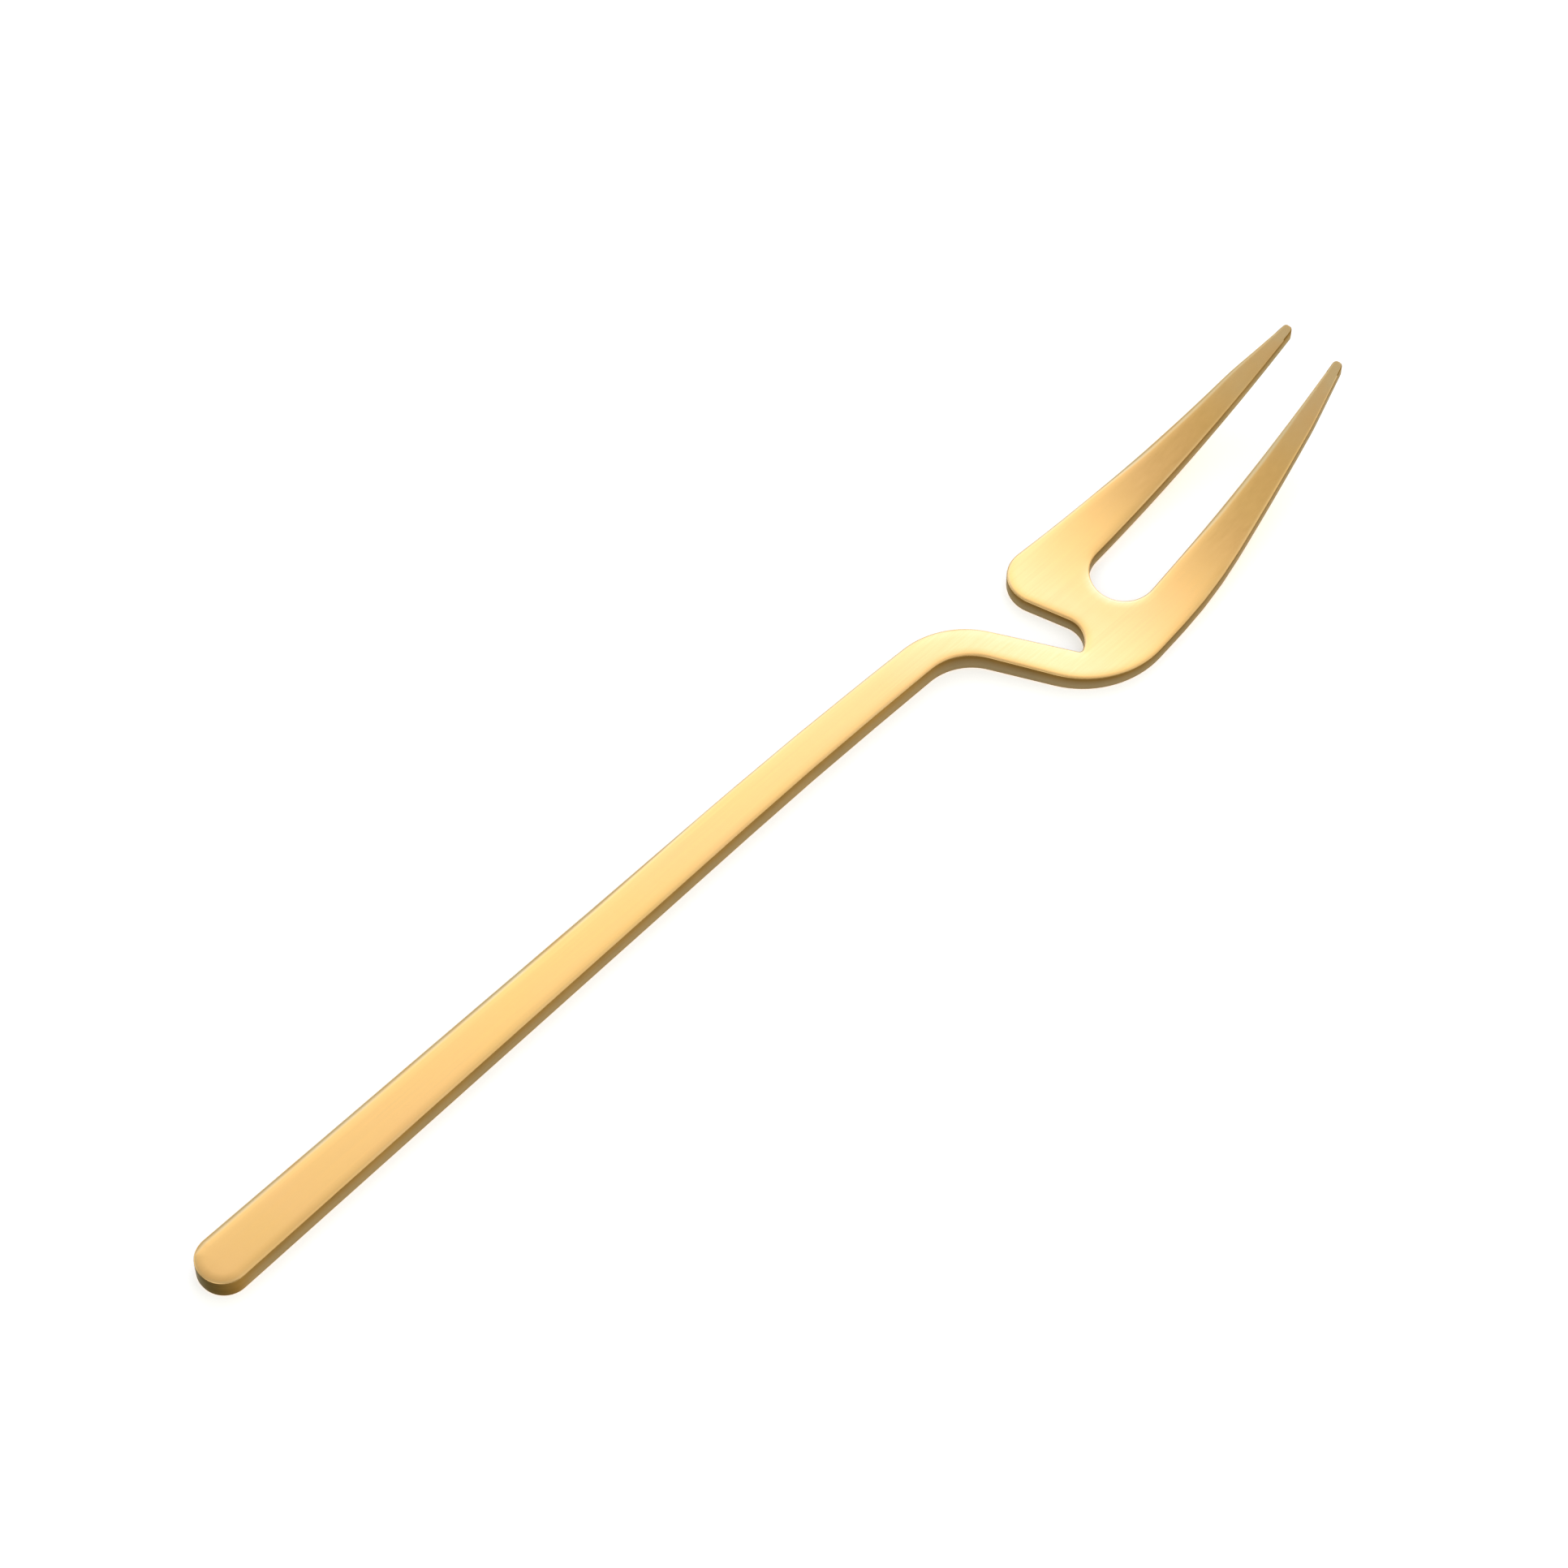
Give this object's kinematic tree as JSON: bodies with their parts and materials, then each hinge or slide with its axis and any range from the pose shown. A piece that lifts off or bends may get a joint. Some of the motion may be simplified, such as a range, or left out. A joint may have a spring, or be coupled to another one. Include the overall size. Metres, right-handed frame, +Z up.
{
  "type": "dessert fork",
  "caption": "Slim dessert fork formed from sheet metal, with a tapered handle, an S-shaped neck set to the side, a notch beside it and curved tines around a round-ended slot.",
  "frame": {"origin": "on the table, under the middle of the fork's bounding box", "axes": "+Y along the handle towards the tine tips, +X to the right seen from above, +Z up from the table"},
  "size_m": [0.0178, 0.14, 0.0078],
  "materials": {
    "gold_steel": "stainless steel with a gold coloured coating, satin polished"
  },
  "bodies": {
    "root": {"fork": "gold_steel"}
  },
  "joints": []
}
